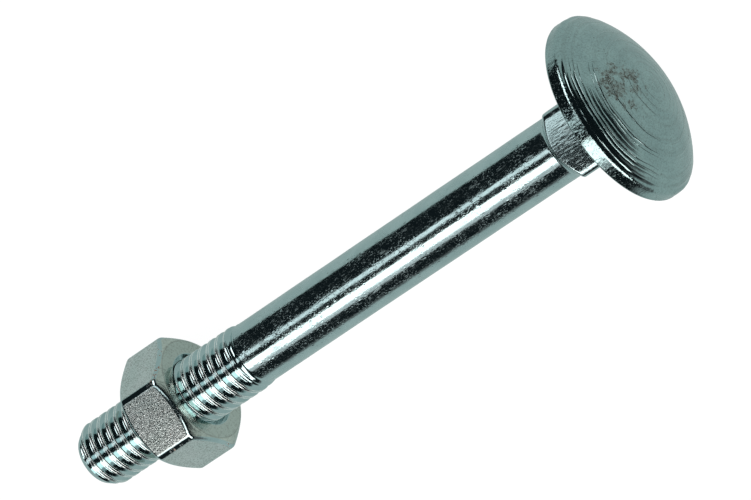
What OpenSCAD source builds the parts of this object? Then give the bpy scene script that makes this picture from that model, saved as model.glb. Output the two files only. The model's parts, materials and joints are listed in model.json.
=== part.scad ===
// Carriage bolt with a domed head, a square neck and a plain hexagon nut run on its thread.
// Millimetres, +Z up. The origin is the centre of the head's bearing face, on the bolt's axis.
// The bolt lies as it comes to rest, on the rim of its head and on one flat of the nut, with the
// head towards +X. The bolt's thread is cut in full, and the nut's bore is plain and just clears it.

/* [Head] */
// Diameter of the domed head
head_d = 16.4; // [13:0.1:22]
// Height of the head above its bearing face
head_h = 4.2; // [3:0.1:6]
// Height of the rim, below the dome
rim_h = 1.1; // [0.8:0.1:1.6]
// Rounding of the edge between the rim and the dome
rim_top_r = 0.4; // [0.1:0.05:0.6]
// Rounding of the edge between the rim and the bearing face
rim_base_r = 0.25; // [0.1:0.05:0.4]

/* [Square neck] */
// Width of the square neck across its flats
neck_w = 6; // [5.6:0.1:7.5]
// Length of the neck's corner edges, from the bearing face
neck_l = 4; // [2.5:0.1:6]
// Rounding of the neck's corner edges
neck_corner_r = 0.35; // [0.1:0.05:0.8]
// Slope of the neck's end, from the plane square to the axis
neck_end_angle = 41; // [25:1:55]
// Fillet where the end of the neck runs into the shank
neck_fillet_r = 0.5; // [0.2:0.05:0.8]

/* [Shank and thread] */
// Length of the bolt under its head
bolt_l = 58.8; // [45:0.1:100]
// Diameter of the plain shank
shank_d = 5.5; // [5:0.05:5.6]
// Outside diameter of the thread
thread_d = 5.9; // [5.7:0.05:6.5]
// Pitch of the thread, a right-hand one
thread_pitch = 1; // [0.75:0.05:1.25]
// Length of the full thread, from the tip
thread_l = 18; // [14:0.5:30]
// Length over which the thread runs out into the shank
runout_l = 1; // [0.3:0.1:2]
// Where the thread starts, as an angle about the axis from straight down
thread_start_angle = 270; // [0:15:345]
// Diameter of the flat end of the tip
tip_d = 4.6; // [3.5:0.1:5.2]
// Length of the chamfer on the tip
tip_chamfer_l = 1.1; // [0.5:0.1:2]

/* [Nut] */
// Width of the nut across its flats
nut_af = 9.8; // [9:0.1:12]
// Width of the nut across its rounded corners
nut_ac = 11.05; // [10.9:0.05:12]
// Thickness of the nut
nut_h = 4.9; // [3.5:0.1:7]
// Diameter of the flat ring left by the chamfers, on both faces
nut_face_d = 9.2; // [8.4:0.1:9.6]
// Slope of the chamfers on the nut's corners, from its faces
nut_chamfer_angle = 30; // [15:1:40]
// Diameter of the countersinks at the mouths of the bore
nut_sink_d = 6.7; // [6.6:0.05:7.4]
// Slope of the countersinks, from the bore
nut_sink_angle = 45; // [30:1:60]
// Distance from the bolt's tip to the nut
tip_to_nut = 7.6; // [2:0.1:12]
// Gap all round between the thread and the nut's bore
thread_gap = 0.05; // [0.02:0.01:0.1]

/* [Hidden] */
$fn = 96;

// The head's dome is a cap of a sphere that meets the rim at its full diameter.
head_r = head_d / 2;
cap_h = head_h - rim_h;
dome_r = (head_r * head_r + cap_h * cap_h) / (2 * cap_h);
dome_z = head_h - dome_r;
// Centre of the arc that rounds the rim's upper edge, and the point where it touches the dome.
rim_arc = [head_r - rim_top_r, dome_z + sqrt(pow(dome_r - rim_top_r, 2) - pow(head_r - rim_top_r, 2))];
dome_foot = [0, dome_z] + (rim_arc - [0, dome_z]) * dome_r / (dome_r - rim_top_r);

// The neck's end slopes in from the corners, and a fillet carries it onto the shank.
shank_r = shank_d / 2;
neck_reach = (neck_w / 2 - neck_corner_r) * sqrt(2) + neck_corner_r;
neck_over = 1;
fillet_x = shank_r + neck_fillet_r;
fillet_z = -neck_l - (neck_reach - fillet_x) * tan(neck_end_angle) - neck_fillet_r / cos(neck_end_angle);
fillet_top = [fillet_x - neck_fillet_r * sin(neck_end_angle), fillet_z + neck_fillet_r * cos(neck_end_angle)];

thread_r = thread_d / 2;
tip_z = -bolt_l;
thread_end_z = tip_z + thread_l;
thread_join_z = thread_end_z + runout_l;

// A metric thread: flanks 60 degrees apart, a flat crest an eighth of the pitch wide, and a root at
// 17/24 of the height at which the flanks of two turns would meet.
thread_angle = 60;
thread_crest_w = thread_pitch / 8;
thread_depth = 17 / 24 * thread_pitch / 2 / tan(thread_angle / 2);
thread_flank_w = thread_depth * tan(thread_angle / 2);
thread_root_r = thread_r - thread_depth;
// Corners of one turn's section: how far each is up the axis, and the radius it has on the full thread.
thread_corners = [
    [0, thread_root_r],
    [thread_flank_w, thread_r],
    [thread_flank_w + thread_crest_w, thread_r],
    [2 * thread_flank_w + thread_crest_w, thread_root_r]
];
// The section is wound up in this many steps a turn, from just above the tip to just under the join.
thread_sides = 24;
thread_step = thread_pitch / thread_sides;
thread_lead = 2 * thread_step;
thread_steps = floor((thread_l + runout_l - thread_lead - thread_corners[3][0]) / thread_step) - 1;
// The thread's end face lies this much inside the shank's, so that neither edge runs along the other.
join_inset = 0.01;

nut_z = tip_z + tip_to_nut;
nut_bore_r = thread_r + thread_gap;
nut_sink_h = (nut_sink_d / 2 - nut_bore_r) / tan(nut_sink_angle);
nut_corner_drop = (nut_ac - nut_face_d) / 2 * tan(nut_chamfer_angle);
nut_flat_drop = (nut_af - nut_face_d) / 2 * tan(nut_chamfer_angle);

// The slope at which the rim and the nut's lower flat both touch one level surface: the bolt's axis
// stands as high over it at the rim as the flat's outer end needs.
rim_over_flat = head_r - rim_base_r - nut_af / 2;
rim_to_flat = rim_base_r - nut_z - nut_flat_drop;
lean = atan2(rim_over_flat, rim_to_flat) + asin(rim_base_r / norm([rim_over_flat, rim_to_flat]));

// Places what is modelled upright, with the head up, as the bolt lies.
module laid_down() {
    rotate([0, 90 - lean, 0]) children();
}

// Half the head's section: a flat bearing face, a rim with rounded edges, and the dome.
module head_section() {
    polygon([
        [0, 0],
        [head_r - rim_base_r, 0],
        [head_r - rim_base_r, rim_base_r],
        [head_r, rim_base_r],
        [head_r, rim_arc.y],
        rim_arc,
        dome_foot,
        [0, dome_foot.y]
    ]);
    translate([head_r - rim_base_r, rim_base_r]) circle(rim_base_r);
    translate(rim_arc) circle(rim_top_r);
    intersection() {
        translate([0, dome_z]) circle(dome_r);
        translate([0, dome_foot.y]) square([dome_foot.x, head_h]);
    }
}

// Half the section of the round form that the neck's square bar is cut to.
module neck_envelope() {
    difference() {
        polygon([
            [0, neck_over],
            [neck_reach + neck_over, neck_over],
            [neck_reach + neck_over, -neck_l + neck_over * tan(neck_end_angle)],
            fillet_top,
            [shank_r, fillet_z],
            [0, fillet_z]
        ]);
        translate([fillet_x, fillet_z]) circle(neck_fillet_r);
    }
}

// A square with rounded corners, centred on the axis.
module rounded_square(w, r) {
    square([w, w - 2 * r], center = true);
    square([w - 2 * r, w], center = true);
    for (x = [-1, 1], y = [-1, 1])
        translate([x, y] * (w / 2 - r)) circle(r);
}

module neck() {
    intersection() {
        rotate_extrude() neck_envelope();
        translate([0, 0, fillet_z])
            linear_extrude(neck_over - fillet_z) rounded_square(neck_w, neck_corner_r);
    }
}

module shank() {
    translate([0, 0, thread_join_z])
        cylinder(h = neck_over - thread_join_z, r = shank_r);
}

// Radius of the chamfered tip at a height, which is as far out as the thread can reach there.
function tip_r(z) = tip_d / 2 + (thread_r - tip_d / 2) * (z - tip_z) / tip_chamfer_l;

// How far the thread has run out into the shank at a height: 0 on the full thread, 1 at the join.
function runout(z) = max(0, (z - thread_end_z) / runout_l);

function on_turn(step, r, z) =
    [r * cos(step * 360 / thread_sides), r * sin(step * 360 / thread_sides), z];

// Corner c of the thread's section after so many steps up the helix.
function thread_point(step, c) =
    let (z = tip_z + thread_lead + step * thread_step + thread_corners[c][0])
    let (full_r = thread_corners[c][1])
    on_turn(step, min(tip_r(z), full_r + (shank_r - full_r) * runout(z)), z);

// The threaded end: the section wound up the helix in one strip, whose last corner on each turn is
// joined to the first corner of the turn above, and which a flat ring closes at each end.
module thread() {
    corners = len(thread_corners);
    around = [0 : thread_sides - 1];
    winding = [for (step = [0 : thread_steps], c = [0 : corners - 1]) thread_point(step, c)];
    tip_ring = [for (step = around) on_turn(step, min(tip_d / 2, thread_root_r), tip_z)];
    join_ring = [for (step = around) on_turn(step, shank_r - join_inset, thread_join_z)];
    last_turn = thread_steps - thread_sides;

    // Places of the points in the list; the corner after a turn's last is the first of the turn above.
    function wound(step, c) =
        c < corners ? step * corners + c : (step + thread_sides) * corners;
    function tip(step) = len(winding) + step % thread_sides;
    function join(step) = len(winding) + thread_sides + step % thread_sides;
    function quad(a, b, c, d) = [[a, b, c], [a, c, d]];

    turns = [for (step = [0 : thread_steps - 1], c = [0 : corners - 2])
        each quad(wound(step, c), wound(step, c + 1), wound(step + 1, c + 1), wound(step + 1, c))];
    roots = [for (step = [0 : last_turn - 1]) let (c = corners - 1)
        each quad(wound(step, c), wound(step, c + 1), wound(step + 1, c + 1), wound(step + 1, c))];
    lead_in = [for (step = around)
        each quad(tip(step), wound(step, 0), wound(step + 1, 0), tip(step + 1))];
    lead_out = [for (step = [last_turn : thread_steps - 1]) let (c = corners - 1)
        each quad(wound(step, c), join(step), join(step + 1), wound(step + 1, c))];
    start = [tip(0), for (c = [corners : -1 : 0]) wound(0, c)];
    end = [join(thread_steps), wound(last_turn, corners - 1),
        for (c = [0 : corners - 1]) wound(thread_steps, c)];
    tip_face = [for (step = around) tip(step)];
    join_face = [for (step = around) join(thread_sides - 1 - step)];
    polyhedron(
        concat(winding, tip_ring, join_ring),
        concat(turns, roots, lead_in, lead_out, [start, end, tip_face, join_face])
    );
}

// The bolt is one forging: head, square neck, shank and thread.
module bolt() {
    color([0.55, 0.63, 0.65]) laid_down() {
        rotate_extrude() head_section();
        neck();
        shank();
        rotate([0, 0, thread_start_angle]) thread();
    }
}

// Half the section of the turned blank that rounds the nut's corners and chamfers both its faces.
module nut_blank_section() {
    polygon([
        [0, 0],
        [nut_face_d / 2, 0],
        [nut_ac / 2, nut_corner_drop],
        [nut_ac / 2, nut_h - nut_corner_drop],
        [nut_face_d / 2, nut_h],
        [0, nut_h]
    ]);
}

// Half the section of the nut's bore, with a countersink at each mouth.
module nut_bore_section() {
    polygon([
        [0, -nut_sink_h],
        [nut_sink_d / 2 + nut_sink_h * tan(nut_sink_angle), -nut_sink_h],
        [nut_bore_r, nut_sink_h],
        [nut_bore_r, nut_h - nut_sink_h],
        [nut_sink_d / 2 + nut_sink_h * tan(nut_sink_angle), nut_h + nut_sink_h],
        [0, nut_h + nut_sink_h]
    ]);
}

// The nut, with one flat down and one flat up.
module nut() {
    color([0.62, 0.66, 0.65]) laid_down() translate([0, 0, nut_z]) difference() {
        intersection() {
            rotate([0, 0, 30]) cylinder(h = nut_h, d = nut_af / cos(30), $fn = 6);
            rotate_extrude() nut_blank_section();
        }
        rotate_extrude() nut_bore_section();
    }
}

bolt();
nut();
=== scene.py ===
"""A zinc-plated carriage bolt and its hexagon nut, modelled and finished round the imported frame."""

import json
import logging
import math
from contextlib import contextmanager
from dataclasses import dataclass, field
from enum import Enum
from typing import Iterator, Optional

import bmesh
import bpy
from mathutils import Matrix, Vector, noise

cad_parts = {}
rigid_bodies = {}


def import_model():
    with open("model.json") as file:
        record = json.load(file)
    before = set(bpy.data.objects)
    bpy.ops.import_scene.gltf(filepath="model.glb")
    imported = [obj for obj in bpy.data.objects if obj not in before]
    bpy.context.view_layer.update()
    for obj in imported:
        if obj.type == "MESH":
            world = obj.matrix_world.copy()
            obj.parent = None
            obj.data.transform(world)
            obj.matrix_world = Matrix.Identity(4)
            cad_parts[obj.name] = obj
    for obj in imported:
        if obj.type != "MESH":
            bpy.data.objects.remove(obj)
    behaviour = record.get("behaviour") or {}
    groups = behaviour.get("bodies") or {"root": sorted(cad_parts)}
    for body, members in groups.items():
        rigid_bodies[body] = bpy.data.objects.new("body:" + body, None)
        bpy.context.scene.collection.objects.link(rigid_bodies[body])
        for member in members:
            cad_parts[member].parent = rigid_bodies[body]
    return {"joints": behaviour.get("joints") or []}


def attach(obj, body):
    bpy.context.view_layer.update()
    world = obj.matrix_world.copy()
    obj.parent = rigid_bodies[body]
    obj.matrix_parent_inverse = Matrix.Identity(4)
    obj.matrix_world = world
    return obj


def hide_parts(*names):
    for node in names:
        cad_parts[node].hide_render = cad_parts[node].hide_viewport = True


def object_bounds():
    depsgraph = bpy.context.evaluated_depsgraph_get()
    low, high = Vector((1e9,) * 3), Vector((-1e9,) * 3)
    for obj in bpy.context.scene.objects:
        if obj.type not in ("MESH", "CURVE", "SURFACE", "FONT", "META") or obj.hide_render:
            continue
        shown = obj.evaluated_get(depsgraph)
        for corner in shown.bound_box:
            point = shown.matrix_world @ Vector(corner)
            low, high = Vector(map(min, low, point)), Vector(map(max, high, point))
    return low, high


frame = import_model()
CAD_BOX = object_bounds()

LOG = logging.getLogger("carriage_bolt")
MM = 0.001
TINY = 1e-6
RING_SLACK = 5 * TINY

Point = tuple[float, float]
Span = tuple[float, float]
Triple = tuple[float, float, float]
Colour = tuple[float, float, float, float]
Socket = bpy.types.NodeSocket


# --------------------------------------------------------------------------- modelling by hand


def deselect() -> None:
    """Leaves nothing selected and no object active."""
    for thing in bpy.context.view_layer.objects:
        thing.select_set(False)
    bpy.context.view_layer.objects.active = None


def hold(*things: bpy.types.Object) -> bpy.types.Object:
    """Selects these objects alone and makes the first one active.

    Args:
        things: The objects to select.

    Returns:
        The first object.
    """
    deselect()
    for thing in things:
        thing.select_set(True)
    bpy.context.view_layer.objects.active = things[0]
    return things[0]


@contextmanager
def editing(thing: bpy.types.Object) -> Iterator[None]:
    """Holds an object in edit mode with all its vertices selected.

    Args:
        thing: The mesh object to edit.

    Yields:
        Nothing.
    """
    hold(thing)
    bpy.ops.object.mode_set(mode="EDIT")
    bpy.ops.mesh.select_mode(type="VERT")
    bpy.ops.mesh.select_all(action="SELECT")
    yield
    bpy.ops.object.mode_set(mode="OBJECT")


def weld(thing: bpy.types.Object) -> None:
    """Merges vertices that lie together and turns every face outwards."""
    with editing(thing):
        bpy.ops.mesh.remove_doubles(threshold=TINY)
        bpy.ops.mesh.normals_make_consistent(inside=False)


def trim(thing: bpy.types.Object, *cuts: tuple[float, str]) -> None:
    """Cuts a form level at some heights and clears one side of each cut.

    Args:
        thing: The mesh object, upright.
        cuts: The height of each cut and the side that goes: inner below it, or outer above it.
    """
    with editing(thing):
        for height, side in cuts:
            bpy.ops.mesh.select_all(action="SELECT")
            bpy.ops.mesh.bisect(plane_co=(0, 0, height), plane_no=(0, 0, 1), threshold=TINY,
                                **{"clear_" + side: True})


def join_rings(thing: bpy.types.Object, low: float, high: float) -> None:
    """Fills the gap between the two open rings about the axis that lie between two heights.

    Args:
        thing: The mesh object, upright.
        low: The lower height.
        high: The upper height.
    """
    form = bmesh.new()
    form.from_mesh(thing.data)
    low, high = low - RING_SLACK, high + RING_SLACK
    edges = [edge for edge in form.edges
             if edge.is_boundary and all(low < corner.co.z < high for corner in edge.verts)]
    ends = dict.fromkeys(corner for edge in edges for corner in edge.verts)
    reach = {corner: math.hypot(corner.co.x, corner.co.y) + corner.co.z for corner in ends}
    middle = (min(reach.values()) + max(reach.values())) / 2
    angle = {corner: math.atan2(corner.co.y, corner.co.x) for corner in ends}
    inner = sorted((corner for corner in ends if reach[corner] <= middle), key=angle.get)
    outer = sorted((corner for corner in ends if reach[corner] > middle), key=angle.get)
    first, second = 0, 0
    while first < len(inner) or second < len(outer):
        after = (inner[(first + 1) % len(inner)], outer[(second + 1) % len(outer)])
        ahead = (angle[after[0]] + math.tau * (first + 1 == len(inner)),
                 angle[after[1]] + math.tau * (second + 1 == len(outer)))
        corners = [inner[first % len(inner)], outer[second % len(outer)]]
        if second == len(outer) or (first < len(inner) and ahead[0] <= ahead[1]):
            corners.append(after[0])
            first += 1
        else:
            corners.append(after[1])
            second += 1
        form.faces.new(corners)
    bmesh.ops.recalc_face_normals(form, faces=form.faces)
    form.to_mesh(thing.data)
    form.free()


def widen(place: Vector, factor: float) -> None:
    """Moves a place away from the Z axis, or towards it, by a factor."""
    place.x *= factor
    place.y *= factor


def off_flat(angle: float, sides: int) -> float:
    """Measures how far a direction turns from the nearest flat of a regular figure.

    Args:
        angle: The direction, in radians; a flat faces direction zero.
        sides: How many flats the figure has.

    Returns:
        The angle between the direction and the middle of that flat.
    """
    half = math.pi / sides
    return abs((angle + half) % (2 * half) - half)


def soft_min(first: float, second: float, soft: float) -> float:
    """Gives the smaller of two lengths, rounded off where they are nearly alike.

    Args:
        first: One length.
        second: The other length.
        soft: How near they are to each other when the rounding starts.

    Returns:
        The length.
    """
    near = max(0.0, soft - abs(first - second)) / soft
    return min(first, second) - near * near * soft / 4


class Section:
    """An outline drawn point by point, as (radius, height) from one end to the other."""

    def __init__(self, radius: float, height: float) -> None:
        """Starts the outline at a point."""
        self.points: list[Point] = [(radius, height)]

    def line(self, radius: float, height: float, cuts: int = 1) -> "Section":
        """Draws a straight stretch.

        Args:
            radius: Radius of its far end.
            height: Height of its far end.
            cuts: How many equal pieces it is drawn in.

        Returns:
            The same section.
        """
        start = Vector(self.points[-1])
        step = (Vector((radius, height)) - start) / cuts
        self.points += [tuple(start + step * (cut + 1)) for cut in range(cuts)]
        return self

    def arc(self, centre: Point, radius: float, first: float, last: float,
            cuts: int) -> "Section":
        """Draws a round stretch that starts where the outline has come to.

        Args:
            centre: Centre of the arc.
            radius: Radius of the arc.
            first: Angle where it starts, in degrees up from the radial direction.
            last: Angle where it ends.
            cuts: How many equal pieces it is drawn in.

        Returns:
            The same section.
        """
        for cut in range(1, cuts + 1):
            angle = math.radians(first + (last - first) * cut / cuts)
            self.points.append((centre[0] + radius * math.cos(angle),
                                centre[1] + radius * math.sin(angle)))
        return self

    def draw(self, name: str) -> bpy.types.Object:
        """Draws the outline as a chain of edges in the XZ plane, by extruding one vertex.

        Args:
            name: Name of the new object.

        Returns:
            The chain.
        """
        deselect()
        first = self.points[0]
        bpy.ops.mesh.primitive_plane_add(size=MM, location=(first[0], 0.0, first[1]))
        chain = bpy.context.active_object
        chain.name = name
        with editing(chain):
            bpy.ops.mesh.merge(type="CENTER")
            for here, there in zip(self.points, self.points[1:]):
                move = (there[0] - here[0], 0.0, there[1] - here[1])
                bpy.ops.mesh.extrude_region_move(TRANSFORM_OT_translate={"value": move})
        hold(chain)
        bpy.ops.object.transform_apply(location=True, rotation=True, scale=True)
        return chain

    def turn(self, name: str, steps: int) -> bpy.types.Object:
        """Spins the outline once round the Z axis.

        Args:
            name: Name of the new object.
            steps: How many steps there are in the turn.

        Returns:
            The turned form, with its faces outwards.
        """
        form = self.draw(name)
        with editing(form):
            bpy.ops.mesh.spin(steps=steps, angle=math.tau, center=(0, 0, 0), axis=(0, 0, 1))
        weld(form)
        return form


# --------------------------------------------------------------------------- sizes of the bolt


@dataclass(frozen=True)
class HeadSizes:
    """The domed head, in metres."""

    radius: float = 8.2 * MM
    height: float = 4.2 * MM
    rim: float = 1.1 * MM
    top_round: float = 0.46 * MM
    base_round: float = 0.25 * MM

    @property
    def dome_radius(self) -> float:
        """Radius of the sphere that the dome is a cap of."""
        cap = self.height - self.rim
        return (self.radius**2 + cap**2) / (2 * cap)

    @property
    def dome_centre(self) -> float:
        """Height of that sphere's centre."""
        return self.height - self.dome_radius

    @property
    def shoulder(self) -> Point:
        """Centre of the arc that rounds the rim's upper edge."""
        across = self.radius - self.top_round
        reach = self.dome_radius - self.top_round
        return (across, self.dome_centre + math.sqrt(reach**2 - across**2))


@dataclass(frozen=True)
class NeckSizes:
    """The square neck, in metres."""

    width: float = 6.0 * MM
    length: float = 4.0 * MM
    corner: float = 0.35 * MM
    end_angle: float = 41.0
    root_fillet: float = 0.12 * MM
    end_fillet: float = 0.5 * MM
    softness: float = 0.22 * MM

    @property
    def reach(self) -> float:
        """How far the rounded corners stand from the axis."""
        return (self.width / 2 - self.corner) * math.sqrt(2) + self.corner

    def wall(self, angle: float) -> float:
        """Distance from the axis to the square's rounded outline.

        Args:
            angle: Direction about the axis, in radians.

        Returns:
            The distance.
        """
        turned = off_flat(angle, 4)
        half = self.width / 2
        inner = half - self.corner
        if half * math.tan(turned) <= inner:
            return half / math.cos(turned)
        along = inner * (math.cos(turned) + math.sin(turned))
        return along + math.sqrt(along**2 - (2 * inner**2 - self.corner**2))


@dataclass(frozen=True)
class ThreadSizes:
    """A rolled metric thread, in metres."""

    radius: float = 2.95 * MM
    pitch: float = 1.0 * MM
    length: float = 18.0 * MM
    runout: float = 1.0 * MM
    root_round: float = 0.1443 * MM
    lip_round: float = 0.05 * MM
    lip_spread: float = 0.125 * MM
    lip_turn: float = 50.0
    flank_turn: float = 60.0
    fold: float = 0.06 * MM
    start_angle: float = 270.0
    start_lead: float = 0.5 * MM
    tip_radius: float = 2.3 * MM
    tip_chamfer: float = 1.1 * MM
    tip_round: float = 0.15 * MM
    tip_hollow: tuple[Point, Point] = ((0.9 * MM, 0.10 * MM), (1.2 * MM, 0.01 * MM))
    tip_depth: float = 0.12 * MM
    tip_lip: float = 0.1 * MM

    @property
    def root(self) -> float:
        """Radius at the bottom of the groove."""
        rounds = self.lip_round + self.root_round
        along = self.pitch / 2 - self.lip_spread - rounds * math.sin(math.radians(self.flank_turn))
        return self.radius - rounds / 2 - along / math.tan(math.radians(90 - self.flank_turn))

    def section(self, arc_cuts: int = 3, flank_cuts: int = 3) -> Section:
        """Draws one pitch of the thread, whose crest is folded into two lips by the rolls.

        Args:
            arc_cuts: Pieces in half of a rounded root, and in a lip.
            flank_cuts: Pieces in a flank.

        Returns:
            The outline, from the middle of a root to the middle of the next.
        """
        middle, root_centre = self.pitch / 2, self.root + self.root_round
        lips = (middle - self.lip_spread, middle + self.lip_spread)
        lip_centre, rise = self.radius - self.lip_round, math.sin(math.radians(self.flank_turn))
        inside = (lip_centre + self.lip_round * math.cos(math.radians(self.lip_turn)),
                  lips[1] - self.lip_round * math.sin(math.radians(self.lip_turn)))
        drawn = Section(self.root, 0.0)
        drawn.arc((root_centre, 0.0), self.root_round, 180, 180 - self.flank_turn, arc_cuts)
        drawn.line(lip_centre + self.lip_round / 2, lips[0] - self.lip_round * rise, flank_cuts)
        drawn.arc((lip_centre, lips[0]), self.lip_round, -self.flank_turn, self.lip_turn, arc_cuts + 1)
        drawn.line(self.radius - self.fold, middle - self.lip_spread / 4)
        drawn.line(self.radius - self.fold, middle + self.lip_spread / 4)
        drawn.line(*inside)
        drawn.arc((lip_centre, lips[1]), self.lip_round, -self.lip_turn, self.flank_turn, arc_cuts + 1)
        drawn.line(root_centre - self.root_round / 2, self.pitch - self.root_round * rise, flank_cuts)
        drawn.arc((root_centre, self.pitch), self.root_round, 180 + self.flank_turn, 180, arc_cuts)
        return drawn

    def strip(self, name: str, turns: int, steps: int, grow: float = 0.0) -> bpy.types.Object:
        """Winds the section up a helix in one strip, in phase with the bolt's thread.

        Args:
            name: Name of the new object.
            turns: How many turns the strip has.
            steps: Steps in each turn.
            grow: How much further out the whole strip stands.

        Returns:
            The strip, whose first root starts at height zero less the lead.
        """
        drawn = self.section()
        drawn.points = [(radius + grow, height) for radius, height in drawn.points]
        strip = drawn.draw(name)
        screw = strip.modifiers.new("screw", "SCREW")
        screw.axis, screw.angle, screw.screw_offset = "Z", math.tau, self.pitch
        screw.iterations, screw.steps, screw.render_steps = turns, steps, steps
        screw.use_merge_vertices = False
        bpy.ops.object.modifier_apply(modifier=screw.name)
        weld(strip)
        turned = Matrix.Rotation(math.radians(self.start_angle), 4, "Z")
        lifted = Matrix.Translation((0, 0, self.start_lead - self.pitch / 2))
        strip.data.transform(lifted @ turned)
        return strip


@dataclass(frozen=True)
class NutSizes:
    """The hexagon nut, in metres."""

    flats: float = 9.8 * MM
    corners: float = 11.05 * MM
    height: float = 4.9 * MM
    face: float = 9.2 * MM
    chamfer_angle: float = 30.0
    sink: float = 3.35 * MM
    mouth: float = 3.40 * MM
    to_tip: float = 7.6 * MM
    corner_round: float = 0.3 * MM
    edge_round: float = 0.46 * MM
    face_edge: Span = (0.05 * MM, 0.03 * MM)
    corner_blend: float = 0.06 * MM
    thread_gap: float = 0.03 * MM

    def wall(self, angle: float) -> float:
        """Distance from the axis to the hexagon's rounded outline.

        Args:
            angle: Direction about the axis, in radians; a flat faces direction zero.

        Returns:
            The distance.
        """
        turned = off_flat(angle, 6)
        half = self.flats / 2
        inner = half - self.corner_round
        if half * math.tan(turned) <= inner * math.tan(math.pi / 6):
            distance = half / math.cos(turned)
        else:
            apart = turned - math.pi / 6
            far = inner / math.cos(math.pi / 6)
            aside = far * math.sin(apart)
            distance = far * math.cos(apart) + math.sqrt(self.corner_round**2 - aside**2)
        return soft_min(distance, self.corners / 2, self.corner_blend)

    def section(self, wall: float) -> Section:
        """Draws the nut's outline in one direction, from one mouth of the bore to the other.

        Args:
            wall: Distance from the axis to the hexagon's side in that direction.

        Returns:
            The outline, always with the same number of points.
        """
        slope = math.radians(self.chamfer_angle)
        turn = math.pi / 2 - slope
        reach = self.edge_round * math.tan(turn / 2)
        edge = (wall - self.face / 2) * math.tan(slope)
        centre = wall - self.edge_round
        start = (wall - reach * math.cos(slope), edge - reach * math.sin(slope))
        inside, outside = self.face / 2 - self.face_edge[0], self.face / 2 + self.face_edge[1]
        fall, arc_end = self.face_edge[1] * math.tan(slope), 90 - self.chamfer_angle
        drawn = Section(self.mouth, 0.0)
        drawn.line(inside, 0.0, cuts=6)
        drawn.line(outside, fall, cuts=2)
        drawn.line(*start, cuts=4)
        drawn.arc((centre, edge + reach), self.edge_round, -arc_end, 0, cuts=6)
        drawn.line(wall, self.height - edge - reach, cuts=16)
        drawn.arc((centre, self.height - edge - reach), self.edge_round, 0, arc_end, cuts=6)
        drawn.line(outside, self.height - fall, cuts=4)
        drawn.line(inside, self.height, cuts=2)
        drawn.line(self.mouth, self.height, cuts=6)
        return drawn


# --------------------------------------------------------------------------- finishes


@dataclass(frozen=True)
class Pattern:
    """A pattern of soft random blotches or scattered points, and what is made of it.

    Attributes:
        size: Size of a blotch, or distance between points, in metres.
        detail: How many finer layers lie on it.
        strength: How strong the finer layers are.
        band: The stretch of its values that is used.
        levels: What the ends of that stretch become.
        depth: How far a value of 1 stands proud, in metres.
        along: How much the place along the bolt counts, against the place across it.
    """

    size: float
    detail: float = 2.0
    strength: float = 0.5
    band: Span = (0.0, 1.0)
    levels: Span = (0.0, 1.0)
    depth: float = 0.0
    along: float = 1.0


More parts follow.
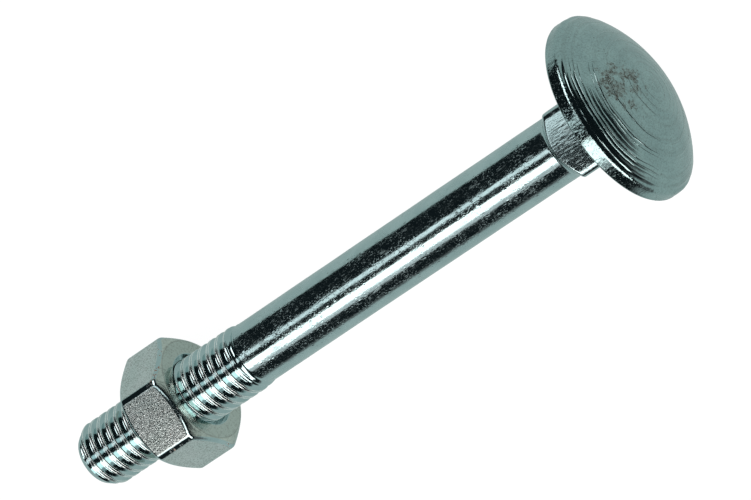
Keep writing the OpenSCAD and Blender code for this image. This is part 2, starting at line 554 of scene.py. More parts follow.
class Graph:
    """A material's node tree, wired up from its patterns to its surface."""

    def __init__(self, name: str, tilt: float = 0.0) -> None:
        """Starts an empty material with one Principled surface.

        Args:
            name: Name of the material.
            tilt: How far the piece's own Z axis is turned down about Y, in radians.
        """
        self.material = bpy.data.materials.new(name)
        self.material.use_nodes = True
        self.tree = self.material.node_tree
        self.tree.nodes.clear()
        self.surface = self.node("BsdfPrincipled")
        self.output = self.node("OutputMaterial")
        self.feed(self.output.inputs["Surface"], self.surface.outputs["BSDF"])
        upright = self.node("Mapping")
        self.feed(upright.inputs["Rotation"], (0.0, -tilt, 0.0))
        self.feed(upright.inputs["Vector"], self.node("TexCoord").outputs["Object"])
        self.place = upright.outputs[0]

    def node(self, kind: str, **settings: object) -> bpy.types.Node:
        """Adds a node.

        Args:
            kind: Its kind, without the ShaderNode at the front.
            settings: Its settings.

        Returns:
            The node.
        """
        made = self.tree.nodes.new("ShaderNode" + kind)
        for name, value in settings.items():
            setattr(made, name, value)
        return made

    def feed(self, socket: Socket, value: object) -> None:
        """Sets a socket to a value, or links it to another socket."""
        if isinstance(value, bpy.types.NodeSocket):
            self.tree.links.new(value, socket)
        else:
            socket.default_value = value

    def math(self, operation: str, *values: object) -> Socket:
        """Works out a number.

        Args:
            operation: The Math node's operation.
            values: Its inputs, each a number or a socket.

        Returns:
            The result's socket.
        """
        made = self.node("Math", operation=operation)
        for socket, value in zip(made.inputs, values):
            self.feed(socket, value)
        return made.outputs[0]

    def times(self, first: object, second: object) -> Socket:
        """Multiplies two numbers."""
        return self.math("MULTIPLY", first, second)

    def plus(self, first: object, second: object) -> Socket:
        """Adds two numbers."""
        return self.math("ADD", first, second)

    def spread(self, value: object, band: Span = (0.0, 1.0), levels: Span = (0.0, 1.0)) -> Socket:
        """Maps a stretch of values smoothly onto another, and holds the ends.

        Args:
            value: The number to map.
            band: Where the stretch starts and ends.
            levels: What its ends become.

        Returns:
            The result's socket.
        """
        made = self.node("MapRange", interpolation_type="SMOOTHSTEP", clamp=True)
        for socket, given in zip(made.inputs, (value, *band, *levels)):
            self.feed(socket, given)
        return made.outputs[0]

    def across(self) -> tuple[Socket, Socket]:
        """Takes the place on the piece apart.

        Returns:
            Its X and Y, which lie across the axis.
        """
        apart = self.node("SeparateXYZ")
        self.feed(apart.inputs[0], self.place)
        return (apart.outputs[0], apart.outputs[1])

    def radius(self) -> Socket:
        """Gives the distance from the Z axis."""
        side, other = self.across()
        return self.math("SQRT", self.plus(self.times(side, side), self.times(other, other)))

    def texture(self, kind: str, pattern: Pattern, place: Optional[Socket]) -> bpy.types.Node:
        """Adds a pattern's texture.

        Args:
            kind: Its kind of node, without the ShaderNode at the front.
            pattern: The pattern.
            place: Where it is read, if not at the place on the piece.

        Returns:
            The texture's node.
        """
        scaled = self.node("VectorMath", operation="MULTIPLY")
        self.feed(scaled.inputs[0], self.place if place is None else place)
        self.feed(scaled.inputs[1], (1.0, 1.0, pattern.along))
        made = self.node(kind)
        self.feed(made.inputs["Vector"], scaled.outputs[0])
        self.feed(made.inputs["Scale"], 1.0 / pattern.size)
        return made

    def noise(self, pattern: Pattern, place: Optional[Socket] = None) -> Socket:
        """Adds a pattern's blotches, as they come.

        Args:
            pattern: The pattern.
            place: Where it is read, if not at the place on the piece.

        Returns:
            The pattern's socket, about 0.5 on average.
        """
        made = self.texture("TexNoise", pattern, place)
        self.feed(made.inputs["Detail"], pattern.detail)
        self.feed(made.inputs["Roughness"], pattern.strength)
        return made.outputs["Fac"]

    def blotches(self, pattern: Pattern, place: Optional[Socket] = None) -> Socket:
        """Adds a pattern's blotches, mapped from its band to its levels."""
        return self.spread(self.noise(pattern, place), pattern.band, pattern.levels)

    def cells(self, pattern: Pattern) -> Socket:
        """Gives the distance to the nearest of a pattern's points, in cells."""
        return self.texture("TexVoronoi", pattern, None).outputs["Distance"]

    def strayed(self, out: Socket, pattern: Pattern) -> Socket:
        """Strays a distance by a pattern, as far as its depth."""
        return self.plus(out, self.times(self.noise(pattern), pattern.depth))

    def ringed(self, out: Socket) -> Socket:
        """Makes a distance a place, so that what is read there lies in rings.

        Args:
            out: The distance.

        Returns:
            The place's socket.
        """
        made = self.node("CombineXYZ")
        self.feed(made.inputs[0], out)
        return made.outputs[0]

    def blend(self, amount: object, first: object, second: object) -> Socket:
        """Mixes two colours.

        Args:
            amount: How much of the second colour shows.
            first: The first colour.
            second: The second colour.

        Returns:
            The mixed colour's socket.
        """
        made = self.node("Mix", data_type="RGBA")
        self.feed(made.inputs[0], amount)
        self.feed(made.inputs[6], first)
        self.feed(made.inputs[7], second)
        return made.outputs[2]

    def bump(self, height: Socket, depth: float, under: Optional[Socket] = None) -> Socket:
        """Raises the surface by a pattern.

        Args:
            height: The pattern.
            depth: How far a pattern value of 1 stands proud, in metres.
            under: The relief that this one lies on.

        Returns:
            The relief's socket.
        """
        made = self.node("Bump")
        self.feed(made.inputs["Strength"], 1.0)
        self.feed(made.inputs["Distance"], depth)
        self.feed(made.inputs["Height"], height)
        if under is not None:
            self.feed(made.inputs["Normal"], under)
        return made.outputs[0]

    def emboss(self, pattern: Pattern, under: Optional[Socket] = None,
               share: Optional[Socket] = None) -> Socket:
        """Raises the surface by a pattern's own blotches and depth.

        Args:
            pattern: The pattern.
            under: The relief that this one lies on.
            share: Where it stands, if not everywhere.

        Returns:
            The relief's socket.
        """
        height = self.noise(pattern)
        if share is not None:
            height = self.times(height, share)
        return self.bump(height, pattern.depth, under)

    def finish(self, colour: object, roughness: object, relief: Optional[Socket],
               metal: object = 1.0) -> bpy.types.Material:
        """Sets the surface and gives the material.

        Args:
            colour: Base colour, a value or a socket.
            roughness: Roughness, a value or a socket.
            relief: The last relief, if there is any.
            metal: How metallic the surface is, a value or a socket.

        Returns:
            The material.
        """
        self.feed(self.surface.inputs["Base Color"], colour)
        self.feed(self.surface.inputs["Roughness"], roughness)
        self.feed(self.surface.inputs["Metallic"], metal)
        if relief is not None:
            self.feed(self.surface.inputs["Normal"], relief)
        return self.material


class Tone(Enum):
    """Colours of the plating and of what has marked it."""

    BRIGHT = (0.53, 0.66, 0.665, 1.0)
    DEEP = (0.46, 0.59, 0.595, 1.0)
    HEAD = (0.42, 0.555, 0.55, 1.0)
    HEAD_DEEP = (0.365, 0.49, 0.49, 1.0)
    PALE = (0.71, 0.755, 0.74, 1.0)
    DULL = (0.64, 0.715, 0.69, 1.0)
    CUT = (0.68, 0.72, 0.65, 1.0)
    CUT_DEEP = (0.57, 0.62, 0.57, 1.0)
    WORN = (0.86, 0.90, 0.88, 1.0)
    STAIN = (0.085, 0.075, 0.062, 1.0)
    RUST = (0.18, 0.11, 0.075, 1.0)


@dataclass(frozen=True)
class Plating:
    """Bright zinc plate: a mirror with a faint blue, clouded and marked."""

    name: str
    tilt: float
    roughness: float = 0.12
    light: Tone = Tone.BRIGHT
    dark: Tone = Tone.DEEP
    clouds: Pattern = Pattern(2.2 * MM, 4.0, 0.6, (0.35, 0.65))
    sheen: Pattern = Pattern(0.6 * MM, 3.0, band=(0.3, 0.7), levels=(1.0, 1.35))

    def cloud(self, graph: Graph) -> Socket:
        """Gives the plate's colour, clouded between its two tones."""
        return graph.blend(graph.blotches(self.clouds), self.light.value, self.dark.value)

    def gloss(self, graph: Graph) -> Socket:
        """Gives the plate's roughness, varied by its sheen."""
        return graph.times(graph.blotches(self.sheen), self.roughness)

    def coat(self, graph: Graph) -> bpy.types.Material:
        """Wires up what is particular to one kind of plate."""
        raise NotImplementedError

    def dress(self) -> bpy.types.Material:
        """Builds the plate."""
        return self.coat(Graph(self.name, self.tilt))


@dataclass(frozen=True)
class ThreadPlating(Plating):
    """Plate on the thread: bright in the grooves, worn pale on the crests."""

    crest: float = 2.918 * MM
    wear: float = 0.02 * MM
    worn_roughness: float = 0.13
    worn_metal: float = 0.9
    ragged: Pattern = Pattern(0.3 * MM, depth=0.02 * MM)
    swell: Pattern = Pattern(0.35 * MM, 3.0, depth=0.006 * MM)
    rubbed: Pattern = Pattern(0.1 * MM, depth=0.012 * MM)

    def coat(self, graph: Graph) -> bpy.types.Material:
        """Wires up the worn plate.

        Args:
            graph: The material's graph.

        Returns:
            The material.
        """
        out = graph.strayed(graph.radius(), self.ragged)
        worn = graph.spread(out, (self.crest, self.crest + self.wear))
        relief = graph.emboss(self.swell)
        relief = graph.emboss(self.rubbed, relief, worn)
        rough = graph.spread(worn, levels=(self.roughness, self.worn_roughness))
        colour = graph.blend(worn, self.cloud(graph), Tone.WORN.value)
        return graph.finish(colour, rough, relief, graph.spread(worn, levels=(1.0, self.worn_metal)))


@dataclass(frozen=True)
class ShankPlating(Plating):
    """Plate on the drawn shank, scuffed along its length and finely pitted."""

    sheen: Pattern = Pattern(0.5 * MM, 3.0, band=(0.35, 0.75), levels=(0.7, 1.5), along=0.6)
    pitted: Pattern = Pattern(1.3 * MM, 3.0, band=(0.36, 0.62), along=0.5)
    pits: Pattern = Pattern(0.19 * MM, band=(0.0, 0.45), levels=(1.0, 0.0), depth=-0.006 * MM, along=0.6)
    grains: Pattern = Pattern(0.42 * MM, band=(0.0, 0.28), levels=(1.0, 0.0), depth=0.015 * MM, along=0.6)
    frost: Pattern = Pattern(0.12 * MM, 2.0, 0.6, (0.52, 0.66), (0.0, 0.8), along=0.6)
    scuffs: Pattern = Pattern(0.5 * MM, 3.0, band=(0.63, 0.70), levels=(0.0, 0.6), depth=0.005 * MM,
                              along=0.25)
    swell: Pattern = Pattern(0.4 * MM, depth=0.004 * MM, along=0.6)
    marks: Pattern = Pattern(0.28 * MM, 3.0, 0.6, (0.66, 0.74), (0.0, 0.55), along=0.6)
    bare_frost: float = 0.35
    dull_roughness: float = 0.30
    dull_metal: float = 0.86

    def coat(self, graph: Graph) -> bpy.types.Material:
        """Wires up the scuffed plate.

        Args:
            graph: The material's graph.

        Returns:
            The material.
        """
        pitted = graph.blotches(self.pitted)
        scuffs = graph.blotches(self.scuffs)
        relief = graph.emboss(self.swell)
        for points in (self.pits, self.grains):
            dots = graph.spread(graph.cells(points), points.band, points.levels)
            relief = graph.bump(graph.times(dots, pitted), points.depth, relief)
        relief = graph.bump(scuffs, self.scuffs.depth, relief)
        frost = graph.times(graph.blotches(self.frost),
                            graph.spread(pitted, levels=(self.bare_frost, 1.0)))
        dull = graph.math("MAXIMUM", frost, scuffs)
        rough = graph.plus(self.gloss(graph), graph.times(dull, self.dull_roughness))
        colour = graph.blend(graph.blotches(self.marks), self.cloud(graph), Tone.STAIN.value)
        return graph.finish(colour, rough, relief, graph.spread(dull, levels=(1.0, self.dull_metal)))


@dataclass(frozen=True)
class NeckPlating(Plating):
    """Plate on the square neck, drawn along by the die, which left its flats crowned."""

    crown: float = 0.12 * MM
    crown_line: float = 1.9 * MM
    crown_width: float = 3.0 * MM
    streaks: Pattern = Pattern(0.20 * MM, 3.0, 0.6, depth=0.014 * MM, along=0.22)
    swell: Pattern = Pattern(0.7 * MM, depth=0.009 * MM)
    rubbed: Pattern = Pattern(0.16 * MM, band=(0.52, 0.68), along=0.3)
    rubbed_roughness: float = 0.14
    rubbed_metal: float = 0.9

    def coat(self, graph: Graph) -> bpy.types.Material:
        """Wires up the streaked plate.

        Args:
            graph: The material's graph.

        Returns:
            The material.
        """
        off = graph.plus(graph.across()[1], self.crown_line)
        across = graph.math("DIVIDE", off, self.crown_width)
        relief = graph.bump(graph.times(across, across), -self.crown)
        relief = graph.emboss(self.streaks, relief)
        relief = graph.emboss(self.swell, relief)
        rubbed = graph.blotches(self.rubbed)
        rough = graph.spread(rubbed, levels=(self.roughness, self.roughness + self.rubbed_roughness))
        metal = graph.spread(rubbed, levels=(1.0, self.rubbed_metal))
        return graph.finish(self.cloud(graph), rough, relief, metal)


@dataclass(frozen=True)
class HeadPlating(Plating):
    """Plate on the head: the rings of the die, stained pits and a worn rim."""

    dome_edge: Span = (7.7 * MM, 7.9 * MM)
    side_edge: Span = (7.9 * MM, 8.05 * MM)
    wobble: Pattern = Pattern(3.0 * MM, depth=0.35 * MM)
    rings: Pattern = Pattern(0.42 * MM, 2.0, 0.55, (0.46, 0.60), (0.0, 0.10), 0.062 * MM)
    lines: Pattern = Pattern(0.26 * MM, 1.0, band=(0.55, 0.68), depth=0.030 * MM)
    grain: Pattern = Pattern(0.3 * MM, 3.0, depth=0.004 * MM)
    hammered: Pattern = Pattern(0.34 * MM, 3.0, 0.6, depth=0.03 * MM)
    frost: Pattern = Pattern(0.16 * MM, band=(0.54, 0.66), levels=(0.0, 0.3))
    mottle: Pattern = Pattern(0.15 * MM, 3.0, 0.7, (0.45, 0.65), (0.0, 0.26))
    clumps: Pattern = Pattern(0.9 * MM, 4.0, 0.7, (0.56, 0.66))
    flecks: Pattern = Pattern(0.30 * MM, 5.0, 0.8, (0.48, 0.57), depth=-0.006 * MM)
    strays: Pattern = Pattern(0.24 * MM, band=(0.69, 0.75), levels=(0.0, 0.7))
    stained: Triple = (-3.1 * MM, 1.6 * MM, 3.7 * MM)
    stain_reach: Span = (0.4 * MM, 3.4 * MM)
    crowding: float = 0.15
    fleck_band: Span = (0.0, 0.3)
    haze_band: Span = (0.0, 0.5)
    haze: Span = (0.0, 0.30)
    stain_share: float = 0.85
    stain_roughness: float = 0.3
    lost_metal: float = 0.1

    def coat(self, graph: Graph) -> bpy.types.Material:
        """Wires up the ringed plate.

        Args:
            graph: The material's graph.

        Returns:
            The material.
        """
        out = graph.radius()
        dome = graph.spread(out, self.dome_edge, (1.0, 0.0))
        side = graph.spread(out, self.side_edge)
        ringed = graph.ringed(graph.strayed(out, self.wobble))
        rings = graph.noise(self.rings, ringed)
        relief = graph.bump(graph.times(rings, dome), self.rings.depth)
        lines = graph.times(graph.blotches(self.lines, ringed), dome)
        relief = graph.bump(lines, self.lines.depth, relief)
        relief = graph.emboss(self.grain, relief)
        relief = graph.emboss(self.hammered, relief, side)
        apart = graph.node("VectorMath", operation="DISTANCE")
        graph.feed(apart.inputs[0], graph.place)
        graph.feed(apart.inputs[1], self.stained)
        near = graph.spread(apart.outputs["Value"], self.stain_reach, (1.0, 0.0))
        clumps = graph.plus(graph.noise(self.clumps), graph.times(near, self.crowding))
        worn = graph.spread(clumps, self.clumps.band)
        flecks = graph.times(graph.blotches(self.flecks), worn)
        stain = graph.times(flecks, graph.spread(near, self.fleck_band))
        relief = graph.bump(stain, self.flecks.depth, relief)
        marked = graph.math("MAXIMUM", stain, graph.times(graph.blotches(self.strays), dome))
        mottle = graph.plus(graph.blotches(self.mottle),
                            graph.spread(rings, self.rings.band, self.rings.levels))
        haze = graph.times(worn, graph.spread(near, self.haze_band, self.haze))
        colour = graph.blend(mottle, self.cloud(graph), Tone.STAIN.value)
        colour = graph.blend(haze, colour, Tone.RUST.value)
        colour = graph.blend(graph.times(marked, self.stain_share), colour, Tone.STAIN.value)
        rough = graph.spread(marked, levels=(self.roughness, self.stain_roughness))
        rough = graph.plus(rough, graph.times(graph.blotches(self.frost), side))
        metal = graph.math("SUBTRACT", 1.0, graph.times(marked, self.lost_metal))
        return graph.finish(colour, rough, relief, metal)


@dataclass(frozen=True)
class NutPlating(Plating):
    """Plate on the nut's sides, sandy from the barrel, with a few rusty specks."""

    crown: float = 0.09 * MM
    crown_reach: float = 5.0 * MM
    grains: Pattern = Pattern(0.195 * MM, depth=0.006 * MM)
    sand: Pattern = Pattern(0.13 * MM, 3.0, 0.7, depth=0.020 * MM)
    swell: Pattern = Pattern(1.1 * MM, depth=0.008 * MM)
    dirt: Pattern = Pattern(0.13 * MM, 3.0, 0.6, (0.46, 0.62), (0.0, 0.42))
    specks: Pattern = Pattern(0.24 * MM, band=(0.69, 0.75), levels=(0.0, 0.7))

    def coat(self, graph: Graph) -> bpy.types.Material:
        """Wires up the sandy plate.

        Args:
            graph: The material's graph.

        Returns:
            The material.
        """
        out = graph.math("DIVIDE", graph.radius(), self.crown_reach)
        relief = graph.bump(graph.times(out, out), -self.crown)
        relief = graph.bump(graph.cells(self.grains), self.grains.depth, relief)
        relief = graph.emboss(self.sand, relief)
        relief = graph.emboss(self.swell, relief)
        colour = graph.blend(graph.blotches(self.dirt), self.cloud(graph), Tone.STAIN.value)
        colour = graph.blend(graph.blotches(self.specks), colour, Tone.RUST.value)
        return graph.finish(colour, self.gloss(graph), relief)


@dataclass(frozen=True)
class NutFacePlating(Plating):
    """Plate on the nut's turned faces: faint rings inside a scribed edge, and a little dirt."""

    sheen: Pattern = Pattern(0.6 * MM, 3.0, band=(0.3, 0.7), levels=(1.0, 1.5))
    scribed: float = 4.6 * MM
    scribed_fade: float = 0.04 * MM
    polished: Span = (3.5 * MM, 4.2 * MM)
    polish: float = 0.4
    line_reach: Span = (0.03 * MM, 0.10 * MM)
    line_dark: Span = (0.45, 0.0)
    line_gaps: Pattern = Pattern(0.5 * MM)
    wobble: Pattern = Pattern(2.0 * MM, depth=0.2 * MM)
    rings: Pattern = Pattern(0.20 * MM, 3.0, 0.6, depth=0.012 * MM)
    grain: Pattern = Pattern(0.26 * MM, 2.0, 0.6, depth=0.014 * MM)
    dirt: Pattern = Pattern(0.22 * MM, 4.0, 0.7, (0.48, 0.66), (0.0, 0.30))

    def coat(self, graph: Graph) -> bpy.types.Material:
        """Wires up the turned plate.

        Args:
            graph: The material's graph.

        Returns:
            The material.
        """
        out = graph.radius()
        flat = graph.spread(out, (self.scribed, self.scribed + self.scribed_fade), (1.0, 0.0))
        outer = graph.spread(out, self.polished)
        ringed = graph.ringed(graph.strayed(out, self.wobble))
        rings = graph.times(graph.noise(self.rings, ringed), flat)
        relief = graph.bump(graph.times(rings, outer), self.rings.depth)
        relief = graph.emboss(self.grain, relief, outer)
        off = graph.math("ABSOLUTE", graph.math("SUBTRACT", out, self.scribed))
        line = graph.spread(off, self.line_reach, self.line_dark)
        line = graph.times(line, graph.noise(self.line_gaps))
        colour = graph.blend(flat, self.cloud(graph), self.dark.value)
        colour = graph.blend(graph.blotches(self.dirt), colour, Tone.STAIN.value)
        colour = graph.blend(line, colour, Tone.STAIN.value)
        rough = graph.times(self.gloss(graph), graph.spread(outer, levels=(self.polish, 1.0)))
        return graph.finish(colour, rough, relief)


@dataclass(frozen=True)
class EdgePlating(Plating):
    """Bright plate on the nut's rounded edges and in its bore, with specks of rust."""

    grain: Pattern = Pattern(0.3 * MM, 3.0, depth=0.008 * MM)
    specks: Pattern = Pattern(0.24 * MM, 3.0, 0.6, (0.57, 0.64))
    rusty: Pattern = Pattern(2.4 * MM, 1.0, band=(0.50, 0.62))
    rust_roughness: float = 0.6

    def coat(self, graph: Graph) -> bpy.types.Material:
        """Wires up the specked plate.

        Args:
            graph: The material's graph.

        Returns:
            The material.
        """
        rusty = graph.times(graph.blotches(self.specks), graph.blotches(self.rusty))
        rough = graph.spread(rusty, levels=(self.roughness, self.rust_roughness))
        colour = graph.blend(rusty, self.cloud(graph), Tone.RUST.value)
        metal = graph.math("SUBTRACT", 1.0, rusty)
        return graph.finish(colour, rough, graph.emboss(self.grain), metal)


# --------------------------------------------------------------------------- the bolt


@dataclass
class Piece:
    """A piece of the real object, modelled upright and then laid down."""

    lie: Matrix
    tilt: float
    smooth_angle: float = 50.0

    def finish_of(self, face: bpy.types.MeshPolygon) -> int:
        """Says which finish a face has, as its place in the list of finishes."""
        raise NotImplementedError

    def dress(self, form: bpy.types.Object, *finishes: Plating) -> None:
        """Gives every face its finish, and shades the form smooth.

        Args:
            form: The modelled form, upright.
            finishes: The list of finishes.
        """
        for finish in finishes:
            form.data.materials.append(finish.dress())
        for face in form.data.polygons:
            face.material_index = self.finish_of(face)
        hold(form)
        bpy.ops.object.shade_smooth_by_angle(angle=math.radians(self.smooth_angle))


@dataclass
class Bolt(Piece):
    """The forged bolt: head, square neck, shank and rolled thread in one piece."""

    length: float = 58.8 * MM
    shank_radius: float = 2.75 * MM
    head: HeadSizes = field(default_factory=HeadSizes)
    neck: NeckSizes = field(default_factory=NeckSizes)
    thread: ThreadSizes = field(default_factory=ThreadSizes)
    steps: int = 160
    thread_steps: int = 96
    spare_turns: int = 3
    join_gap: float = 0.08 * MM
    swell: Span = (3.5 * MM, 0.012 * MM)
    ripple: Span = (1.2 * MM, 0.004 * MM)
    rim_dents: Span = (0.9 * MM, 0.035 * MM)
    rim_sink: float = 0.03 * MM
    rim_reach: float = 0.6 * MM

    @property
    def tip_height(self) -> float:
        """Height of the tip's end."""
        return -self.length

    @property
    def join_height(self) -> float:
        """Height where the run-out ends in the plain shank."""
        return self.tip_height + self.thread.length + self.thread.runout

    @property
    def fillet_centre(self) -> Point:
        """Centre of the fillet between the neck's sloped end and the shank."""
        across = self.shank_radius + self.neck.end_fillet
        slope = math.radians(self.neck.end_angle)
        down = (self.neck.reach - across) * math.tan(slope) + self.neck.end_fillet / math.cos(slope)
        return (across, -self.neck.length - down)

    def blank_section(self) -> Section:
        """Draws the bolt's outline from the middle of the dome to the start of the thread.

        Returns:
            The outline.
        """
        head, neck = self.head, self.neck
        shoulder = head.shoulder
        foot = math.degrees(math.atan2(shoulder[1] - head.dome_centre, shoulder[0]))
        base = (head.radius - head.base_round, head.base_round)
        fillet = self.fillet_centre
        slope = math.radians(neck.end_angle)
        slope_end = (fillet[0] - neck.end_fillet * math.sin(slope),
                     fillet[1] + neck.end_fillet * math.cos(slope))
        root = neck.reach + neck.root_fillet
        drawn = Section(0.0, head.height)
        drawn.arc((0.0, head.dome_centre), head.dome_radius, 90, foot, cuts=56)
        drawn.arc(shoulder, head.top_round, foot, 0, cuts=10)
        drawn.line(head.radius, head.base_round, cuts=5)
        drawn.arc(base, head.base_round, 0, -90, cuts=6)
        drawn.line(root, 0.0, cuts=10)
        drawn.arc((root, -neck.root_fillet), neck.root_fillet, 90, 180, cuts=4)
        drawn.line(neck.reach, -neck.length, cuts=44)
        drawn.line(*slope_end, cuts=20)
        drawn.arc(fillet, neck.end_fillet, 90 + neck.end_angle, 180, cuts=8)
        return drawn.line(self.shank_radius, self.join_height + self.join_gap, cuts=96)

    def square_neck(self, form: bpy.types.Object) -> None:
        """Presses the round neck square, with its edges softened.

        Args:
            form: The turned blank.
        """
        reach = self.neck.reach
        for vertex in form.data.vertices:
            place = vertex.co
            radius = math.hypot(place.x, place.y)
            if place.z > TINY or radius < TINY or radius > reach + self.neck.root_fillet + TINY:
                continue
            if place.z < self.fillet_centre[1]:
                continue
            wall = self.neck.wall(math.atan2(place.y, place.x)) + max(0.0, radius - reach)
            widen(place, soft_min(radius, wall, self.neck.softness) / radius)

    def wind_thread(self) -> bpy.types.Object:
        """Rolls the thread, fades it into the shank, chamfers the tip and closes it.

        Returns:
            The threaded end, open at the shank.
        """
        thread = self.thread
        turns = math.ceil((thread.length + thread.runout) / thread.pitch) + self.spare_turns
        strip = thread.strip("rolled_thread", turns, self.thread_steps)
        strip.data.transform(Matrix.Translation((0, 0, self.tip_height - thread.pitch)))
        for vertex in strip.data.vertices:
            place = vertex.co
            radius = math.hypot(place.x, place.y)
            up = place.z - self.tip_height
            faded = min(1.0, max(0.0, (up - thread.length) / thread.runout))
            kept = radius + (self.shank_radius - radius) * faded
            rise = max(0.0, up)
            cone = thread.tip_radius + (thread.radius - thread.tip_radius) * rise / thread.tip_chamfer
            if up < thread.tip_round:
                short = thread.tip_round - rise
                cone -= thread.tip_round - math.sqrt(thread.tip_round**2 - short**2)
            widen(place, min(kept, cone) / radius)
        trim(strip, (self.join_height, "outer"), (self.tip_height, "inner"))
        return strip

    def tip_section(self) -> Section:
        """Draws the tip's end, slightly hollow, from its middle outwards.

        Returns:
            The outline.
        """
        tip, thread = self.tip_height, self.thread
        drawn = Section(0.0, tip + thread.tip_depth)
        for (radius, depth), cuts in zip(thread.tip_hollow, (5, 3)):
            drawn.line(radius, tip + depth, cuts)
        return drawn.line(thread.tip_radius - thread.tip_round - thread.tip_lip, tip, cuts=4)

    def roughen(self, form: bpy.types.Object) -> None:
        """Gives the turned form the faint unevenness of a forging.

        Args:
            form: The bolt, upright.
        """
        normals = [vertex.normal.copy() for vertex in form.data.vertices]
        for vertex, normal in zip(form.data.vertices, normals):
            place = vertex.co
            radius = math.hypot(place.x, place.y)
            if radius < TINY or place.z < self.join_height + 2 * self.join_gap:
                continue
            wave = sum(noise.noise(place / size) * height for size, height in (self.swell, self.ripple))
            if place.z > self.head.base_round:
                edge = max(0.0, 1 - abs(radius - self.head.radius) / self.rim_reach)
                dent = noise.noise(place / self.rim_dents[0]) * self.rim_dents[1]
                wave += edge * (dent - self.rim_sink)
            place.x += normal.x * wave
            place.y += normal.y * wave
            place.z += normal.z * wave * (place.z > TINY)

    def finish_of(self, face: bpy.types.MeshPolygon) -> int:
        """Says which finish a face of the bolt has.

        Args:
            face: The face, upright.

        Returns:
            Its place in the list of finishes: head, neck, shank or thread.
        """
        height = face.center.z
        if height > -TINY:
            return 0
        if height > self.fillet_centre[1]:
            return 1
        return 2 if height > self.join_height - self.join_gap else 3

    def build(self) -> bpy.types.Object:
        """Models the whole bolt.

        Returns:
            The finished bolt, lying in the frame.
        """
        form = self.blank_section().turn("forged_bolt", self.steps)
        self.square_neck(form)
        strip = self.wind_thread()
        hold(form, strip, self.tip_section().turn("bolt_tip", self.thread_steps))
        bpy.ops.object.join()
        join_rings(form, self.join_height, self.join_height + self.join_gap)
        join_rings(form, self.tip_height, self.tip_height)
        weld(form)
        self.roughen(form)
        self.dress(form, HeadPlating("head_plating", self.tilt, 0.10, Tone.HEAD, Tone.HEAD_DEEP),
                   NeckPlating("neck_plating", self.tilt, 0.14),
                   ShankPlating("shank_plating", self.tilt, 0.13),
                   ThreadPlating("thread_plating", self.tilt, 0.085))
        form.data.transform(self.lie)
        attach(form, "bolt")
        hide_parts("bolt")
        return form


# --------------------------------------------------------------------------- the nut


@dataclass
class Nut(Piece):
    """The hexagon nut, with its own thread."""

    smooth_angle: float = 38.0
    bolt_length: float = 58.8 * MM
    sizes: NutSizes = field(default_factory=NutSizes)
    thread: ThreadSizes = field(default_factory=ThreadSizes)
    steps: int = 360
    thread_steps: int = 90
    spare_turns: int = 4
    crowding: float = 0.75
    step_digits: int = 4
    face_slope: float = 0.84
    side_slope: float = 0.1
    side_turn: float = 8.0

    @property
    def foot(self) -> float:
        """Height of the nut's face towards the tip."""
        return self.sizes.to_tip - self.bolt_length

    def press_flats(self, blank: bpy.types.Object, drawn: Section) -> None:
        """Presses the turned blank into a hexagon, with its steps crowded towards the corners.

        Args:
            blank: The turned blank.
            drawn: The section that it was turned from.
        """
        outlines: dict[int, Section] = {}
        for vertex in blank.data.vertices:
            place = vertex.co
            radius = math.hypot(place.x, place.y)
            row = min(range(len(drawn.points)),
                      key=lambda number: math.dist(drawn.points[number], (radius, place.z)))
            angle = math.atan2(place.y, place.x)
            angle += self.crowding * math.sin(6 * angle) / 6
            step = round(angle, self.step_digits)
            if step not in outlines:
                outlines[step] = self.sizes.section(self.sizes.wall(angle))
            across, up = outlines[step].points[row]
            vertex.co = (across * math.cos(angle), across * math.sin(angle), up)

    def cut_thread(self) -> bpy.types.Object:
        """Winds the bore's thread, in phase with the bolt's, and sinks its mouths.

        Returns:
            The bore's surface, open at both mouths.
        """
        sizes, thread = self.sizes, self.thread
        turns = math.ceil(sizes.height / thread.pitch) + self.spare_turns
        bore = thread.strip("nut_bore", turns, self.thread_steps, sizes.thread_gap)
        down = (sizes.to_tip % thread.pitch) + 2 * thread.pitch
        bore.data.transform(Matrix.Translation((0, 0, -down)))
        trim(bore, (0.0, "inner"), (sizes.height, "outer"))
        for vertex in bore.data.vertices:
            place = vertex.co
            radius = math.hypot(place.x, place.y)
            depth = max(0.0, min(place.z, sizes.height - place.z))
            widen(place, max(radius, sizes.sink - depth) / radius)
        return bore

    def finish_of(self, face: bpy.types.MeshPolygon) -> int:
        """Says which finish a face of the nut has.

        Args:
            face: The face, upright.

        Returns:
            Its place in the list of finishes: sides, faces, or edges and thread.
        """
        if math.hypot(face.center.x, face.center.y) < self.sizes.mouth:
            return 2
        slope = abs(face.normal.z)
        if slope > self.face_slope:
            return 1
        off = off_flat(math.atan2(face.normal.y, face.normal.x), 6)
        return 0 if slope < self.side_slope and off < math.radians(self.side_turn) else 2

    def build(self) -> bpy.types.Object:
        """Models the nut.

        Returns:
            The finished nut, lying in the frame.
        """
        sizes = self.sizes
        drawn = sizes.section(sizes.corners / 2)
        nut = drawn.turn("hexagon_nut", self.steps)
        self.press_flats(nut, drawn)
        bore = self.cut_thread()
        hold(nut, bore)
        bpy.ops.object.join()
        for height in (0.0, sizes.height):
            join_rings(nut, height, height)
        weld(nut)
        self.dress(nut, NutPlating("nut_side_plating", self.tilt, 0.10, Tone.PALE, Tone.DULL),
                   NutFacePlating("nut_face_plating", self.tilt, 0.15, Tone.CUT, Tone.CUT_DEEP),
                   EdgePlating("nut_edge_plating", self.tilt, 0.12))
        nut.data.transform(self.lie @ Matrix.Translation((0, 0, self.foot)))
        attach(nut, "nut")
        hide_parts("nut")
        return nut


# --------------------------------------------------------------------------- the studio


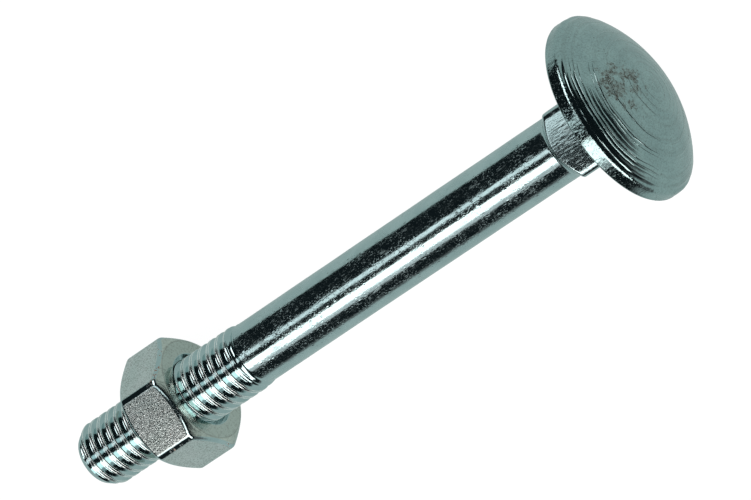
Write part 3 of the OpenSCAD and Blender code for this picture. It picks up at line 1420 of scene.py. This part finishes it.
@dataclass(frozen=True)
class Viewpoint:
    """Where the camera stands, what it looks at, and how it is turned."""

    eye: Triple = (0.16144, 0.00571, 0.38136)
    target: Triple = (-0.02509, 0.00148, -0.0019)
    roll: float = 125.53
    lens: float = 250.99
    sensor: float = 36.0
    near: float = 0.01

    def place(self) -> None:
        """Puts the camera up and makes it the scene's own."""
        view = (Vector(self.target) - Vector(self.eye)).normalized()
        side = view.cross(Vector((0, 0, 1))).normalized()
        turned = Matrix.Rotation(math.radians(self.roll), 3, view)
        axes = Matrix((turned @ side, turned @ side.cross(view), -view))
        lens = bpy.data.cameras.new("camera")
        lens.lens = self.lens
        lens.sensor_width = self.sensor
        lens.clip_start = self.near
        camera = bpy.data.objects.new("camera", lens)
        bpy.context.scene.collection.objects.link(camera)
        camera.matrix_world = Matrix.Translation(self.eye) @ axes.transposed().to_4x4()
        bpy.context.scene.camera = camera


@dataclass(frozen=True)
class Lamp:
    """A soft rectangular lamp."""

    name: str
    place: Triple
    faces: Triple
    length: float
    width: float
    radiance: float
    colour: Triple

    def hang(self) -> None:
        """Hangs the lamp, with its length level."""
        light = bpy.data.lights.new(self.name, "AREA")
        light.shape = "RECTANGLE"
        light.size, light.size_y = self.length, self.width
        light.color = self.colour
        light.energy = self.radiance * math.pi * self.length * self.width
        lamp = bpy.data.objects.new(self.name, light)
        bpy.context.scene.collection.objects.link(lamp)
        lamp.location = self.place
        view = Vector(self.faces) - Vector(self.place)
        lamp.rotation_euler = view.to_track_quat("-Z", "Y").to_euler()


@dataclass(frozen=True)
class Studio:
    """A pale floor, a dim room and long soft lamps."""

    floor_height: float
    floor_size: float = 60.0
    floor_paint: Colour = (0.8, 0.8, 0.8, 1.0)
    floor_seen: Colour = (1.08, 1.08, 1.08, 1.0)
    floor_mirrored: Colour = (0.385, 0.475, 0.46, 1.0)
    sheet_edge: Span = (-0.033, -0.077)
    shadow_share: float = 0.12
    room: Colour = (0.008, 0.012, 0.014, 1.0)
    room_diffuse: Colour = (0.42, 0.43, 0.44, 1.0)
    room_seen: Colour = (1.0, 1.0, 1.0, 1.0)
    lamps: tuple[Lamp, ...] = (
        Lamp("narrow_lamp", (-0.25, 0.177, 0.61), (-0.25, 0.0, 0.0), 1.6, 0.15, 1.25,
             (0.93, 0.99, 1.0)),
        Lamp("broad_lamp", (-0.25, -0.256, 0.60), (-0.25, 0.0, 0.0), 1.6, 0.272, 2.6,
             (1.0, 0.99, 0.97)),
        Lamp("side_lamp", (-0.25, -0.46, 0.52), (-0.25, 0.0, 0.0), 1.6, 0.20, 0.70,
             (0.97, 0.99, 1.0)),
        Lamp("left_lamp", (0.26, 0.59, 0.44), (-0.03, 0.0, 0.0), 0.34, 0.46, 3.0,
             (1.0, 1.0, 1.0)),
        Lamp("right_lamp", (0.26, -0.59, 0.44), (-0.03, 0.0, 0.0), 0.34, 0.46, 3.0,
             (1.0, 0.99, 0.97)),
    )

    def lay_floor(self) -> None:
        """Lays the floor, which is white to the camera and a dim sheet in the metal."""
        deselect()
        bpy.ops.mesh.primitive_plane_add(size=self.floor_size, location=(0, 0, self.floor_height))
        floor = bpy.context.active_object
        floor.name = "floor"
        graph = Graph("floor_white")
        graph.finish(self.floor_paint, 1.0, None, 0.0)
        rays = graph.node("LightPath").outputs
        beyond = graph.spread(graph.across()[1], self.sheet_edge)
        mirrored = graph.blend(beyond, self.floor_mirrored, self.room)
        seen = graph.node("Emission")
        graph.feed(seen.inputs["Color"], graph.blend(rays["Is Glossy Ray"], self.floor_seen, mirrored))
        shows = graph.math("MAXIMUM", rays["Is Camera Ray"], rays["Is Glossy Ray"])
        shows = graph.math("MAXIMUM", shows, rays["Is Transmission Ray"])
        mixed = graph.node("MixShader")
        graph.feed(mixed.inputs[0], graph.times(shows, 1.0 - self.shadow_share))
        graph.feed(mixed.inputs[1], graph.surface.outputs[0])
        graph.feed(mixed.inputs[2], seen.outputs[0])
        graph.feed(graph.output.inputs["Surface"], mixed.outputs[0])
        floor.data.materials.append(graph.material)

    def paint_room(self) -> None:
        """Makes the room dim in the metal, soft on dull surfaces, and white behind the floor."""
        world = bpy.data.worlds.new("room")
        world.use_nodes = True
        bpy.context.scene.world = world
        tree = world.node_tree
        background = next(node for node in tree.nodes if node.type == "BACKGROUND")
        path = tree.nodes.new("ShaderNodeLightPath")
        shade = background.inputs["Color"]
        for ray, colour in (("Is Camera Ray", self.room_seen), ("Is Diffuse Ray", self.room_diffuse)):
            mix = tree.nodes.new("ShaderNodeMix")
            mix.data_type = "RGBA"
            mix.inputs[7].default_value = colour
            tree.links.new(path.outputs[ray], mix.inputs[0])
            tree.links.new(mix.outputs[2], shade)
            shade = mix.inputs[6]
        shade.default_value = self.room

    def set_up(self) -> None:
        """Sets up the whole studio."""
        self.lay_floor()
        self.paint_room()
        for lamp in self.lamps:
            lamp.hang()
        bpy.context.scene.view_settings.view_transform = "Standard"


def main() -> None:
    """Builds the bolt, the nut and the studio, and logs each piece's face count."""
    logging.basicConfig(level=logging.INFO, format="%(message)s")
    axis = Vector(frame["joints"][0]["axis"])
    tilt = math.pi / 2 - math.atan2(abs(axis.z), abs(axis.x))
    lie = Matrix.Rotation(tilt, 4, "Y")
    Viewpoint().place()
    for maker in (Bolt(lie, tilt), Nut(lie, tilt)):
        piece = maker.build()
        LOG.info("%s: %d faces", piece.name, len(piece.data.polygons))
    Studio(floor_height=CAD_BOX[0][2]).set_up()


if __name__ == "__main__":
    main()
